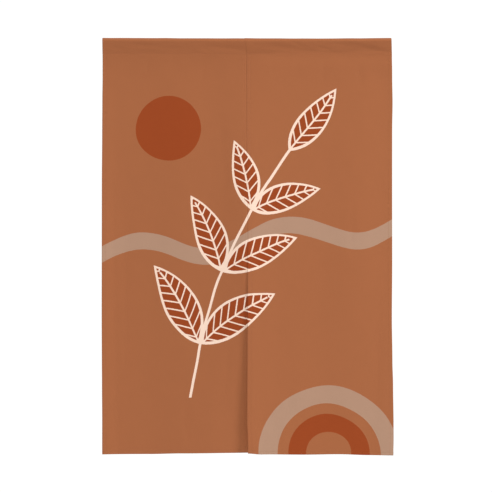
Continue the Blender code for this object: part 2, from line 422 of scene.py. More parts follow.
# %% Grid to mesh
def grid_object(name, points, flat, materials):
    """A mesh from rows x columns of points: quad (r, c) joins (r, c), (r+1, c),
    (r+1, c+1) and (r, c+1), so with rows running down it faces -Y."""
    rows, columns = points.shape[:2]
    number = np.arange(rows * columns).reshape(rows, columns)
    corners = [number[:-1, :-1], number[1:, :-1], number[1:, 1:], number[:-1, 1:]]
    quads = np.stack(corners, axis=-1).reshape(-1, 4)
    mesh = quad_mesh(name, points.reshape(-1, 3), quads)
    # The rim that closes the sheet stays crisp, so it can't darken the face beside it.
    ends = np.empty(2 * len(mesh.edges), dtype=np.int32)
    mesh.edges.foreach_get("vertices", ends)
    row, column = np.divmod(ends.reshape(-1, 2), columns)
    rim = np.isin(row, (0, rows - 1)) & (row == row[:, ::-1])
    rim |= np.isin(column, (0, columns - 1)) & (column == column[:, ::-1])
    rim = rim.all(axis=1)
    mesh.attributes.new("sharp_edge", "BOOLEAN", "EDGE").data.foreach_set("value", rim)
    layer = mesh.uv_layers.new(name="cloth")
    layer.uv.foreach_set("vector", flat.reshape(-1, 2)[quads.ravel()].ravel())
    for material in materials:
        mesh.materials.append(material)
    return add_object(name, mesh)


def quad_mesh(name, points, quads):
    """A smooth-shaded mesh of quads, filled by foreach_set."""
    mesh = bpy.data.meshes.new(name)
    mesh.vertices.add(len(points))
    mesh.vertices.foreach_set("co", points.astype(np.float32).ravel())
    mesh.loops.add(quads.size)
    mesh.loops.foreach_set("vertex_index", quads.astype(np.int32).ravel())
    mesh.polygons.add(len(quads))
    mesh.polygons.foreach_set("loop_start", np.arange(0, quads.size, 4, dtype=np.int32))
    mesh.update(calc_edges=True)
    mesh.shade_smooth()
    return mesh


def thicken(piece):
    """Solidify to half the cloth's thickness on each side, the back in its own material."""
    solid = piece.modifiers.new("cloth thickness", "SOLIDIFY")
    solid.thickness = CLOTH
    solid.offset = 0
    solid.material_offset = 1


# %% [markdown]
# ## Coloured inks
#
# The cloth is a warm terracotta, printed in rust, taupe and cream. The colours are
# the photograph's, turned from picture values into the linear values that a shader
# needs, and divided by the brightness of the light that falls on the cloth.

# %% Colours
LIGHT_ON_CLOTH = 1.06
CLOTH_SHINE = 0.006  # white light that the fibres send back without any colour


def ink(red, green, blue):
    """Linear colour of a picture colour: (the sRGB curve undone - shine) / light."""
    value = np.array([red, green, blue]) / 255
    linear = np.where(value <= 0.04045, value / 12.92, ((value + 0.055) / 1.055) ** 2.4)
    return (*((linear - CLOTH_SHINE) / LIGHT_ON_CLOTH).tolist(), 1)


TERRACOTTA = ink(169, 103, 66)
RUST = ink(156, 71, 33)
TAUPE = ink(180, 142, 118)
CREAM = ink(252, 222, 201)
THREAD = ink(171, 105, 69)
print("terracotta is", [round(value, 3) for value in TERRACOTTA[:3]])

# %% [markdown]
# ## The print
#
# The design is a plain one made for this curtain: a sprig of pointed leaves that
# climbs across the slit, a sun, a waved band and two nested arches. Each shape is a
# distance worked out by Math nodes from the place on the flat cloth, and the colour
# changes where that distance passes zero. Nothing is painted by hand, so the edges
# stay crisp at any size, and the print runs on from one panel to the next.

# %% Helpers for nodes
INK_EDGE = 0.00035  # half the width over which an ink's edge blurs into the cloth


def feed(tree, node, inputs):
    """Give a node its inputs: output sockets are joined, plain values are set."""
    for key, value in dict(inputs).items():
        if isinstance(value, bpy.types.NodeSocket):
            tree.links.new(value, node.inputs[key])
        else:
            node.inputs[key].default_value = value
    return node


def add_node(tree, kind, inputs, **settings):
    """A new node with these settings and inputs, as its list of outputs."""
    node = tree.nodes.new("ShaderNode" + kind)
    for name, value in settings.items():
        setattr(node, name, value)
    return feed(tree, node, inputs).outputs


def maths(tree, operation, *values, kind="Math"):
    """One Math node, or VectorMath node, and its result."""
    return add_node(tree, kind, enumerate(values), operation=operation)[0]


def x_and_y(tree, place):
    """The X and the Y of a place."""
    return add_node(tree, "SeparateXYZ", {0: place})[:2]


def length_of(tree, x, y):
    """The distance sqrt(x^2 + y^2)."""
    squares = [maths(tree, "MULTIPLY", value, value) for value in (x, y)]
    return maths(tree, "SQRT", maths(tree, "ADD", *squares))


def mixed(tree, part, first, second):
    """A colour: the first one where the part is 0, the second where it is 1."""
    return add_node(tree, "Mix", {"Factor": part, 6: first, 7: second}, data_type="RGBA")[2]


def noise(tree, place, scale, detail):
    """A noise texture's value, as output 0, and its colour at a place."""
    return add_node(tree, "TexNoise", {"Vector": place, "Scale": scale, "Detail": detail})


def fading(tree, value, start, end, **settings):
    """A share that is 1 while the value is at the start, and 0 from the end on."""
    limits = {"Value": value, "From Min": start, "From Max": end, "To Min": 1, "To Max": 0}
    return add_node(tree, "MapRange", limits, **settings)["Result"]


def printed(tree, below, colour, distance):
    """Lay one ink over what is below it, wherever the distance is under zero."""
    return mixed(tree, fading(tree, distance, -INK_EDGE, INK_EDGE), below, colour)


def new_group(name, inputs, outputs):
    """A node group with these sockets and kinds, its input's sockets and its last node."""
    tree = bpy.data.node_groups.new(name, "ShaderNodeTree")
    for way, sockets in (("INPUT", inputs), ("OUTPUT", outputs)):
        for socket, kind in sockets.items():
            tree.interface.new_socket(socket, in_out=way, socket_type="NodeSocket" + kind)
    given, result = tree.nodes.new("NodeGroupInput"), tree.nodes.new("NodeGroupOutput")
    return tree, given.outputs, result


# %% [markdown]
# ### One leaf
#
# A pointed leaf is where two equal circles overlap. The leaf is bent by sliding each
# point aside by a share of its distance from the leaf's middle, and made fuller
# towards its foot. A midrib and slanting side veins follow the same bent middle.

# %% The leaf as a node group
OUTLINE = 0.0068  # width of a leaf's cream outline
MIDRIB, MIDRIB_END = 0.0052, 0.80  # its width, and its end as a share of the half length
VEIN, VEIN_STEP, VEIN_SLANT = 0.0038, 0.0270, 0.85
FOOT_FULLNESS = 0.28


def leaf_group():
    """Node group: from a place in a leaf's own axes to its outline and its ribs.

    outline = length(along, |aside| (1 + fullness along / half) + offset) - radius
    ribs = the least of the midrib's and the veins' distances
    """
    numbers = dict.fromkeys(("Half Length", "Radius", "Offset", "Bend"), "Float")
    results = {"Outline": "Float", "Ribs": "Float"}
    tree, given, result = new_group("one leaf", {"Place": "Vector", **numbers}, results)
    along, aside = x_and_y(tree, given["Place"])
    part = maths(tree, "DIVIDE", along, given["Half Length"])
    bow = maths(tree, "SUBTRACT", 1.0, maths(tree, "MULTIPLY", part, part))
    aside = maths(tree, "SUBTRACT", aside, maths(tree, "MULTIPLY", bow, given["Bend"]))
    aside = maths(tree, "ABSOLUTE", aside)
    fuller = maths(tree, "MULTIPLY_ADD", part, FOOT_FULLNESS, 1.0)
    wide = maths(tree, "MULTIPLY_ADD", aside, fuller, given["Offset"])
    outline = maths(tree, "SUBTRACT", length_of(tree, along, wide), given["Radius"])

    midrib = maths(tree, "SUBTRACT", aside, MIDRIB / 2)
    end = maths(tree, "MULTIPLY_ADD", given["Half Length"], -MIDRIB_END, along)
    midrib = maths(tree, "MAXIMUM", midrib, end)
    slanted = maths(tree, "MULTIPLY_ADD", aside, -VEIN_SLANT, along)
    beat = maths(tree, "PINGPONG", slanted, VEIN_STEP / 2)
    veins = maths(tree, "SUBTRACT", beat, VEIN / 2 * math.hypot(1, VEIN_SLANT))
    feed(tree, result, {"Outline": outline, "Ribs": maths(tree, "MINIMUM", midrib, veins)})
    return tree


one_leaf = leaf_group()

# %% [markdown]
# ### The layout
#
# The sprig's stem is an arc. Leaves sit on it in pairs that grow smaller towards the
# tip. Places are given as on the finished curtain: across from the seam and down
# from the top edge.

# %% Where the motifs are
STEM_FOOT, STEM_TIP = (-0.165, 1.040), (0.120, 0.330)
STEM_SAG = 0.050  # how far the stem bows out from a straight line
STEM_WIDTH = 0.0075
LEAF_SPREAD = 43  # degrees between a leaf and the stem
# Share of the way up the stem, leaf length, leaf width
LEAF_PAIRS = (
    (0.20, 0.260, 0.094),
    (0.48, 0.240, 0.088),
    (0.74, 0.205, 0.076),
)
TIP_LEAF = (1.00, 0.225, 0.078)
LEAF_BEND = 0.011
SUN_PLACE, SUN_RADIUS = (-0.228, 0.262), 0.094
ARCH_PLACE = (0.232, 1.205)
ARCHES = ((0.176, 0.054, TAUPE), (0.092, 0.052, RUST))  # radius, width and ink
WAVE_DROP, WAVE_RISE, WAVE_WIDTH = 0.585, 0.110, 0.050
WAVE_DEPTH, WAVE_LENGTH = 0.034, 0.430
STEM_END = 0.01  # how far the stem runs on into the leaf at its tip
INK_CREEP = (260, 0.0009)  # noise scale, and how far the ink strays along the threads
HAND_DRAWN = (8, 0.0110)  # a slower straying of every line, as of one drawn by hand


def stem_circle():
    """Centre and radius of the stem's arc, from its two ends and its sag."""
    foot, tip = np.array(STEM_FOOT) * (1, -1), np.array(STEM_TIP) * (1, -1)
    chord = tip - foot
    half = np.linalg.norm(chord) / 2
    radius = (half**2 + STEM_SAG**2) / (2 * STEM_SAG)
    aside = np.array([chord[1], -chord[0]]) / (2 * half)
    return (foot + tip) / 2 + aside * (radius - STEM_SAG), radius


def on_stem(share):
    """Place on the stem and its direction there, going along the arc by angle."""
    centre, radius = stem_circle()
    ends = [np.array(place) * (1, -1) - centre for place in (STEM_FOOT, STEM_TIP)]
    first, last = (math.atan2(end[1], end[0]) % (2 * math.pi) for end in ends)
    turn = first + (last - first) * share
    place = centre + radius * np.array([math.cos(turn), math.sin(turn)])
    return place, turn + math.copysign(math.pi / 2, last - first)


def leaves():
    """Each leaf's middle, direction, half length, half width and bend."""
    spread = math.radians(LEAF_SPREAD)
    made = []
    for share, length, width in (*LEAF_PAIRS, TIP_LEAF):
        foot, heading = on_stem(share)
        for side in (0,) if share == 1 else (1, -1):
            turn = heading + side * spread
            forward = np.array([math.cos(turn), math.sin(turn)])
            middle = foot + (length / 2 + STEM_WIDTH / 2) * forward
            made.append((middle, turn, length / 2, width / 2, -side * LEAF_BEND))
    return made


print(len(leaves()), "leaves on a stem of radius", round(stem_circle()[1], 2), "m")

# %% [markdown]
# ### All the inks in one group
#
# The inks are laid in the printer's order, light bands first and the sprig last.
# A little noise moves every edge by under a millimetre, as ink creeps on threads, and a
# slow one by up to three, as a hand strays that draws a long line.

# %% The print as a node group
def ring(tree, u, v, place, radius, width):
    """Distance to a ring: |distance to its centre - radius| - half its width."""
    right = maths(tree, "SUBTRACT", u, place[0])
    up = maths(tree, "ADD", v, place[1])
    off = maths(tree, "SUBTRACT", length_of(tree, right, up), radius)
    return maths(tree, "SUBTRACT", maths(tree, "ABSOLUTE", off), width / 2)


def wave(tree, u, v):
    """Distance to a waved band: how far v is from a rising sine, less half its width."""
    turn = maths(tree, "MULTIPLY", u, 2 * math.pi / WAVE_LENGTH)
    line = maths(tree, "MULTIPLY", maths(tree, "SINE", turn), WAVE_DEPTH)
    line = maths(tree, "MULTIPLY_ADD", u, WAVE_RISE, line)
    off = maths(tree, "SUBTRACT", maths(tree, "ADD", v, WAVE_DROP), line)
    return maths(tree, "SUBTRACT", maths(tree, "ABSOLUTE", off), WAVE_WIDTH / 2)


def stem(tree, u, v):
    """Distance to the stem's arc, kept between its foot's drop and just past its tip's."""
    centre, radius = stem_circle()
    band = ring(tree, u, v, (centre[0], -centre[1]), radius, STEM_WIDTH)
    above = maths(tree, "ADD", v, STEM_TIP[1] - STEM_END)
    below = maths(tree, "SUBTRACT", -STEM_FOOT[1], v)
    return maths(tree, "MAXIMUM", band, maths(tree, "MAXIMUM", above, below))


def strayed(tree, place, scale, far):
    """A place moved by far x (noise - 1/2), with a noise of that scale."""
    colour = noise(tree, place, scale, 0)["Color"]
    off = maths(tree, "SUBTRACT", colour, (0.5, 0.5, 0.5), kind="VectorMath")
    return maths(tree, "MULTIPLY_ADD", off, (far, far, 0), place, kind="VectorMath")


def print_group():
    """Node group: from a place on the flat cloth, in metres, to its ink colour."""
    tree, given, result = new_group("printed design", {"Place": "Vector"}, {"Ink": "Color"})
    place = strayed(tree, given["Place"], *INK_CREEP)
    place = strayed(tree, place, *HAND_DRAWN)
    u, v = x_and_y(tree, place)

    colour = printed(tree, TERRACOTTA, TAUPE, wave(tree, u, v))
    for radius, width, arch_ink in ARCHES:
        colour = printed(tree, colour, arch_ink, ring(tree, u, v, ARCH_PLACE, radius, width))
    colour = printed(tree, colour, RUST, ring(tree, u, v, SUN_PLACE, 0, 2 * SUN_RADIUS))
    colour = printed(tree, colour, CREAM, stem(tree, u, v))
    for middle, turn, half_length, half_width, bend in leaves():
        axes = {"Vector": place, "Location": (*middle, 0), "Rotation": (0, 0, turn)}
        own_place = add_node(tree, "Mapping", axes, vector_type="TEXTURE")[0]
        radius = (half_length**2 + half_width**2) / (2 * half_width)
        shape = {"Place": own_place, "Half Length": half_length, "Radius": radius}
        shape |= {"Offset": radius - half_width, "Bend": bend}
        leaf = add_node(tree, "Group", shape, node_tree=one_leaf)
        inside = maths(tree, "ADD", leaf["Outline"], OUTLINE)
        filled = printed(tree, RUST, CREAM, leaf["Ribs"])
        colour = printed(tree, colour, CREAM, leaf["Outline"])
        colour = printed(tree, colour, filled, inside)
    feed(tree, result, {"Ink": colour})
    print("the print is", len(tree.nodes), "nodes")
    return tree


printed_design = print_group()

# %% [markdown]
# ## The cloth's finish
#
# The cloth is a matte plain weave of fairly even yarn. Threads of two thirds of a
# millimetre cross over and under, and a few run thicker. On the back the ink has
# not gone right through, so the same print shows paler there.

# %% Cloth and thread materials
THREAD_PITCH = 0.00066
WEAVE_BUMP = 0.00010
SLUB_STRETCH = 1500, 28  # waves per metre of the slubs' noise, across and along a yarn
MOTTLING, SLUB_SHADE = 0.035, 0.10  # how far each changes the colour's brightness
MOTTLING_SCALE, RIDGE_SCALE = 26, 900  # noise scales of the mottling and the thread
BACK_PALE = ink(214, 178, 152)


def plain_weave(tree, u, v):
    """Height of the weave, sin(pi u / pitch) sin(pi v / pitch): over, then under."""
    turns = [maths(tree, "MULTIPLY", at, math.pi / THREAD_PITCH) for at in (u, v)]
    return maths(tree, "MULTIPLY", *(maths(tree, "SINE", turn) for turn in turns))


def slubs(tree, place):
    """Thicker threads: noise drawn out along the warp, plus noise along the weft."""
    streaks = []
    for stretch in ((*SLUB_STRETCH, 1), (*SLUB_STRETCH[::-1], 1)):
        drawn = maths(tree, "MULTIPLY", place, stretch, kind="VectorMath")
        streaks.append(noise(tree, drawn, 1, 1)[0])
    return maths(tree, "MULTIPLY", maths(tree, "ADD", *streaks), 0.5)


def new_material(name):
    """A material with its node tree and its shader."""
    material = bpy.data.materials.new(name)
    material.use_nodes = True
    return material, material.node_tree, material.node_tree.nodes["Principled BSDF"]


def bumped(tree, height, strength, distance):
    """The surface's direction, tilted by the slope of a height."""
    given = {"Height": height, "Strength": strength, "Distance": distance}
    return add_node(tree, "Bump", given)[0]


def cloth_material(name, painted_shade, paler=0):
    """Matte cloth: the print, shaded a little by slubs and mottling, over a weave bump.

    The first number makes a whole piece lighter or darker, as painted shade for the light
    that falls on it, and paler is the share of undyed thread that shows on the back.
    """
    material, tree, shader = new_material(name)
    place = add_node(tree, "UVMap", {}, uv_map="cloth")["UV"]
    colour = add_node(tree, "Group", {"Place": place}, node_tree=printed_design)["Ink"]
    if paler:
        colour = mixed(tree, paler, colour, BACK_PALE)
    mottling = noise(tree, place, MOTTLING_SCALE, 3)[0]
    streaks = slubs(tree, place)
    # Painted shade: the whole colour is scaled here, lighter on the right panel and darker on
    # the left, for the light that falls more on the right.
    value = maths(tree, "MULTIPLY_ADD", mottling, MOTTLING, painted_shade - MOTTLING / 2)
    value = maths(tree, "SUBTRACT", value, SLUB_SHADE / 2)
    value = maths(tree, "MULTIPLY_ADD", streaks, SLUB_SHADE, value)
    given = {"Vector": colour, "Scale": value}
    shaded = add_node(tree, "VectorMath", given, operation="SCALE")[0]

    weave = plain_weave(tree, *x_and_y(tree, place))
    height = maths(tree, "MULTIPLY_ADD", weave, 0.5, streaks)
    look = {
        "Base Color": shaded,
        "Normal": bumped(tree, height, 0.6, WEAVE_BUMP),
        "Roughness": 0.92,
        "Specular IOR Level": 0.25,
        "Sheen Weight": 0.08,
        "Sheen Roughness": 0.5,
    }
    feed(tree, shader, look)
    return material


def thread_material():
    """Twisted sewing thread: fine uneven ridges, a little lighter and darker."""
    material, tree, shader = new_material("sewing thread")
    place = add_node(tree, "TexCoord", {})["Object"]
    ridges = noise(tree, place, RIDGE_SCALE, 2)[0]
    dark, light = ((*(share * value for value in THREAD[:3]), 1) for share in (0.85, 1.12))
    look = {
        "Base Color": mixed(tree, ridges, dark, light),
        "Normal": bumped(tree, ridges, 0.4, 0.00005),
        "Roughness": 0.6,
    }
    feed(tree, shader, look)
    return material


# The right panel is painted a shade lighter and the left a shade darker: painted shade for the
# light that falls more on the right.
PAINTED_PANEL_SHADES = {"heading": 1.0, "left": 0.998, "right": 1.014}
fronts = {piece: cloth_material("printed cloth, " + piece, painted_shade) for piece, painted_shade in PAINTED_PANEL_SHADES.items()}
cloth_back = cloth_material("back of the printed cloth", 1.0, 0.42)
sewing_thread = thread_material()

# %% [markdown]
# ## The two panels
#
# A panel's columns follow its left hem's profile, then even steps, then its right
# hem's profile. Its rows run from just inside the pocket to the bottom hem's
# profile. The hems' depths are laid behind the hanging surface along its normals.

# %% Panel sheets
TUCKED_TOP = 0.004  # of the panels' top edge, hidden inside the pocket
STEP_UNDER = 0.0008  # the panels' top steps behind the pocket's front layer by this
UNDER_LENGTH = 0.0012  # over this length, just above the pocket's lower edge
COLUMN_STEP, ROW_STEP = 0.0068, 0.0040
# Rows beside the pocket's lower edge, in millimetres below it
BESIDE_POCKET = np.array([-1000 * TUCKED_TOP, -2, -1.2, -0.8, -0.4, 0, 0.5, 1.2, 2, 3.5, 6])
RELIEF_GROWS = 0.012  # the relief grows from nothing over this, below the pocket
SEAM_ROW = 0.0016  # the pocket's sewn line runs this far above the panels' top
POCKET_PULL = 0.25  # and pulls its front layer in less than a hem's line does
JOIN_INSET = 0.0022  # the seam that joins the panels runs this far inside the right edge
JOIN_END = 0.004  # and its relief ends over this length below the seam
# The right panel comes forward by the first, over the second, and sinks back over the third.
RISE, RISE_LENGTH, RISE_FADE = 0.0022, 0.042, 0.15
RISE_WIDTH = 0.05  # the rise grows over this width from the seam
APART = 0.4, 0.9  # shifts along the line, so that no two lines have the same puckers
HEM_FADE, HEM_LEAST = 0.004, 0.15  # side hems fade to that share under the pocket
CORNER_PILE = 0.8  # the bottom hem's depth grows by this share on a side hem
# Each panel's front face, its hems' widths and its column in BOTTOM
SIDES = {
    "left": (left_face, (HEM, INNER_HEM_LEFT), 1),
    "right": (right_face, (INNER_HEM_RIGHT, HEM), 2),
}


def evenly(start, end, step):
    """Even places between two ends, without the ends, as near to a step as fits."""
    return np.linspace(start, end, round((end - start) / step) + 1)[1:-1]


def panel_columns(width, left_hem, right_hem):
    """Insets from the left edge, depths and flat places of the columns across."""
    left, right = hem_profile(left_hem), hem_profile(right_hem)
    between = evenly(left[0][-1], width - right[0][-1], COLUMN_STEP)
    inset, flat = (np.concatenate([left[k], between, width - right[k][::-1]]) for k in (0, 2))
    depth = np.concatenate([left[1], np.zeros_like(between), right[1][::-1]])
    return inset, depth, flat


def panel_rows():
    """Drops along a level bottom hem, depths and flat places of the rows down."""
    inset, depth, flat = hem_profile(BOTTOM_HEM)
    under = POCKET_DROP + BESIDE_POCKET / 1000
    between = evenly(under[-1], FULL_DROP - inset[-1], ROW_STEP)
    drop, flat = (
        np.concatenate([under, between, FULL_DROP - places[::-1]]) for places in (inset, flat)
    )
    depth = np.concatenate([np.zeros(len(under) + len(between)), depth[::-1]])
    return drop, depth, flat


def panel_surface(side, x, drop):
    """Front face of a panel with its relief, as points x, depth, -drop.

    The relief is the sum of the creases, the cockle and what each sewn line does:
    two side hems, the bottom hem, and on the right panel the seam over the lap. The
    right one also has a rise below the pocket, smooth(below / length) times
    exp(-below / fade). At the pocket's edge only the pocket's own sewn line is left.
    """
    face, hems, column = SIDES[side]
    below = drop - POCKET_DROP
    start, end = panel_edges(side, drop)
    depth = face(x, drop) + creases(PANEL_CREASES, x, drop) + cockle(x, drop)
    depth += sewn_relief(x - start - hems[0] + STITCH_INSET, drop)
    depth += sewn_relief(end - x - hems[1] + STITCH_INSET, drop + APART[0])
    bottom = eased(BOTTOM, column, x)
    depth += sewn_relief(bottom - drop - BOTTOM_HEM + STITCH_INSET, x)
    if side == "right":
        sewn = 1 - smooth((drop - SEAM_END) / JOIN_END)
        depth += sewn * sewn_relief(x - JOIN_INSET, drop + APART[1])
        rise = RISE * smooth(below / RISE_LENGTH) * np.exp(-below / RISE_FADE)
        depth -= rise * smooth(x / RISE_WIDTH)
    depth = face(x, drop) + smooth(below / RELIEF_GROWS) * (depth - face(x, drop))
    depth += POCKET_PULL * sewn_relief(below + SEAM_ROW, x)
    depth += STEP_UNDER * (1 - smooth(below / UNDER_LENGTH + 1))
    return np.stack([x + seam_shift(x, drop), depth, -drop], axis=-1)


def panel_edges(side, drop):
    """Places of a panel's left and right edges at each drop."""
    if side == "left":
        return eased(EDGES, 1, drop), np.full_like(drop, LAP)
    return np.zeros_like(drop), eased(EDGES, 2, drop)


def panel_sheet(name, side):
    """The whole panel: its hanging surface with the hems' layers laid behind it."""
    _, hems, column = SIDES[side]
    low_start, low_end = (float(edge[0]) for edge in panel_edges(side, np.array([FULL_DROP])))
    width = low_end - low_start
    inset, side_depth, flat_across = panel_columns(width, *hems)
    row_drop, bottom_depth, flat_down = panel_rows()
    inset, down = np.meshgrid(inset, row_drop)
    start, end = panel_edges(side, down)
    x = start + inset / width * (end - start)
    # Below the pocket the drop is stretched to reach the uneven bottom edge.
    reach = (down - POCKET_DROP) / PANEL_LENGTH
    stretched = POCKET_DROP + reach * (eased(BOTTOM, column, x) - POCKET_DROP)
    drop = np.where(reach > 0, stretched, down)
    front = panel_surface(side, x, drop)
    behind = normals_of_field(side, x, drop)
    # Hems fade out where the pocket is sewn over them, and pile up at the corners.
    grown = HEM_LEAST + (1 - HEM_LEAST) * smooth((drop - POCKET_DROP) / HEM_FADE)
    corner = 1 + CORNER_PILE * np.minimum(side_depth / LAYERS, 1)
    layers = side_depth * grown + bottom_depth[:, None] * corner
    points = front + behind * (layers + CLOTH / 2)[..., None]
    flat_x = low_start + flat_across
    flat = np.stack(np.broadcast_arrays(flat_x, -flat_down[:, None]), axis=-1)
    piece = grid_object(name, points, flat, [fronts[side], cloth_back])
    thicken(piece)
    return piece, (np.ptp(flat_across), np.ptp(flat_down))


def normals_of_field(side, x, drop):
    """Unit normals towards the back, (-slope across, 1, slope down) made one long."""
    step = 0.0004
    across = panel_surface(side, x + step, drop) - panel_surface(side, x - step, drop)
    down = panel_surface(side, x, drop + step) - panel_surface(side, x, drop - step)
    normal = np.cross(down, across)
    return unit(normal * np.sign(normal[..., 1:2]))


def unit(vectors):
    """Vectors made one long."""
    return vectors / np.maximum(np.linalg.norm(vectors, axis=-1, keepdims=True), 1e-9)


cloth_left, left_size = panel_sheet("cloth_left", "left")
cloth_right, right_size = panel_sheet("cloth_right", "right")
for piece, size in ((cloth_left, left_size), (cloth_right, right_size)):
    print(piece.name, len(piece.data.polygons), "quads, cut", [round(part, 3) for part in size])

# %% [markdown]
# ## The rod pocket
#
# The pocket is the same cloth folded over to the back. Its section is a drop shape:
# two straight legs that touch the circle of the top. The circle's size and the dip of
# the top edge change along the curtain, because nothing holds the empty pocket even,
# and its right end slants in towards the top.

# %% Pocket sheet
LEG_ROWS, ARC_ROWS = 26, 22
LAP_TURNED = 0.007  # of the pocket's back layer, turned under at its lower end
LAP_CLEAR = 0.001  # from the fold there to the nearest row of the turned part
SEAM_STEP = 0.0007  # the right panel's cloth lies over the left's along the seam
SEAM_LEAN = -0.0060  # how far the seam has slipped to the left at the top edge
# The seam's step rises over the first, is gone by the second, and starts over the third
STEP_RISE, STEP_END, STEP_FOOT = 0.0012, 0.050, 0.006
LAP_GROOVE = 0.4  # of a sewn line's groove, where the edge of the lap shows through
# Finer columns beside the seam, and how far the others keep clear of them
SEAM_COLUMNS, SEAM_CLEAR = np.linspace(-0.012, 0.006, 13), 0.002
# The front's creases reach up to this share of half the section, and fade out over that
FRONT_SHARE, FRONT_FADE = 0.9, 0.15
CREASE_FADE = 0.009  # they also fade out over this above the foot
FOOT_EASE, FOOT_REACH = 0.17, 0.0065  # the front layer's slope eases off at its foot
# On the left by this share only, and by the whole from this place, over this width
EASE_LEAST, EASE_START, EASE_WIDTH = 0.35, -0.05, 0.20
END_LEAST, END_ROOM = 0.25, 0.012  # the end hems thin to this share, over this length


def pocket_section(radius):
    """Rows of depth and height for each column, from the back lap's end up the back,
    round the top and down the front.

    Each leg is a straight line from its foot to where it touches the circle.
    """
    rise = POCKET_DROP - radius
    front_turn = math.pi + np.arcsin(radius / rise)
    reach = np.hypot(BACK_FOOT, rise)
    back_turn = np.arctan2(BACK_FOOT, rise) - np.arcsin(radius / reach)
    part = np.linspace(0, 1, ARC_ROWS)[:, None]
    turn = back_turn + (front_turn - back_turn) * part
    arc_depth, arc_height = radius * np.cos(turn), radius * np.sin(turn) - radius
    rows = np.linspace(0, 1, LEG_ROWS)[:-1, None]
    back_depth = BACK_FOOT + (arc_depth[0] - BACK_FOOT) * rows
    back_height = -POCKET_DROP + (arc_height[0] + POCKET_DROP) * rows
    front_depth = arc_depth[-1] * (1 - rows[1:])
    front_height = arc_height[-1] + (-POCKET_DROP - arc_height[-1]) * rows[1:]
    foot = np.zeros_like(radius)[None]
    lap_drops = POCKET_DROP + np.linspace(BACK_LAP, 0, 4)[:-1, None]
    lap_depth = BACK_FOOT + lean_back(lap_drops) + 0 * foot
    lap_height = -lap_drops + 0 * foot
    depth = [lap_depth, back_depth, arc_depth, front_depth, foot]
    height = [lap_height, back_height, arc_height, front_height, foot - POCKET_DROP]
    return np.concatenate(depth), np.concatenate(height)


def pocket_grid(x):
    """Outer face of the pocket: rows x columns of points, the distance of each along
    the section from the front foot, and its outward normal. The dip of the top and
    the slant of the right end fade in from the foot to the top."""
    radius = POCKET_RADIUS * eased(POCKET_SHAPE, 2, x)
    depth, height = pocket_section(radius)
    upper = np.clip(1 + height / POCKET_DROP, 0, 1)
    dip = eased(POCKET_SHAPE, 1, x) * upper
    drawn = END_SLANT * np.clip(1 + (x - POCKET_ENDS[1]) / SLANT_WIDTH, 0, 1) * upper
    points = np.stack([x - drawn, depth, height - dip], axis=-1)
    along = run_along(points[:, :, 1:])
    tangent = np.gradient(points, axis=0)
    outward = np.stack([0 * depth, tangent[..., 2], -tangent[..., 1]], axis=-1)
    return points, along[-1] - along, unit(outward)


def pocket_relief(x, from_foot, half):
    """Depth of the creases and puckers, of the front layer's easing at its foot, which
    is distance times exp(-(distance / reach)^2), and of the step of the seam."""
    x = np.broadcast_to(x, from_foot.shape)
    drop = POCKET_DROP - from_foot
    on_front = 1 - smooth((from_foot - FRONT_SHARE * half) / (FRONT_FADE * half))
    inward = creases(POCKET_CREASES, x, drop) + cockle(x, 2 * drop)
    inward *= on_front * smooth(from_foot / CREASE_FADE)
    share = EASE_LEAST + (1 - EASE_LEAST) * smooth((x - EASE_START) / EASE_WIDTH)
    eased_off = FOOT_EASE * share * on_front
    inward += eased_off * from_foot * np.exp(-((from_foot / FOOT_REACH) ** 2))
    inward += sewn_relief(from_foot - SEAM_ROW, x) * (1 - (1 - POCKET_PULL) * on_front)
    seam_x = SEAM[0][1] + SEAM_LEAN * np.clip(from_foot / POCKET_DROP, 0, 1)
    beyond = x - seam_x
    over = smooth(beyond / STEP_RISE) * (1 - smooth(beyond / STEP_END))
    inward -= SEAM_STEP * over * smooth(from_foot / STEP_FOOT)
    inward += LAP_GROOVE * GROOVE_DEPTH * np.exp(-(((beyond + LAP) / GROOVE_WIDTH) ** 2))
    return inward


def pocket_sheet():
    """The pocket's strip, with both ends hemmed and its lower back edge turned under."""
    width = POCKET_ENDS[1] - POCKET_ENDS[0]
    inset, end_depth, flat_across = panel_columns(width, HEM, HEM)
    x, flat_x = POCKET_ENDS[0] + inset, POCKET_ENDS[0] + flat_across
    # The columns near the seam make room for finer ones.
    from_seam = np.abs(x - SEAM_COLUMNS.mean())
    near = np.flatnonzero(from_seam <= np.ptp(SEAM_COLUMNS) / 2 + SEAM_CLEAR)
    x, flat_x, end_depth = (
        np.concatenate([values[: near[0]], part * SEAM_COLUMNS, values[near[-1] + 1 :]])
        for values, part in ((x, 1), (flat_x, 1), (end_depth, 0))
    )
    points, from_foot, outward = pocket_grid(x)
    half = from_foot[0].mean() / 2
    relief = pocket_relief(x, from_foot, half)
    # The end hems lie inside the pocket and thin out where its legs meet.
    room = smooth(from_foot / END_ROOM)
    room *= smooth((2 * half - BACK_LAP - from_foot) / END_ROOM)
    inward = relief + CLOTH / 2 + end_depth * (END_LEAST + (1 - END_LEAST) * room)
    points = points - outward * inward[..., None]
    flat_v = from_foot - POCKET_DROP
    flat = np.stack([np.broadcast_to(flat_x, flat_v.shape), flat_v], axis=-1)
    turned, turned_flat = turned_under(points, outward, flat)
    points = np.concatenate([turned, points])
    flat = np.concatenate([turned_flat, flat])
    piece = grid_object("cloth_heading", points, flat, [fronts["heading"], cloth_back])
    thicken(piece)
    return piece, (flat_x[-1] - flat_x[0], flat[0, 0, 1] - flat[-1, 0, 1])


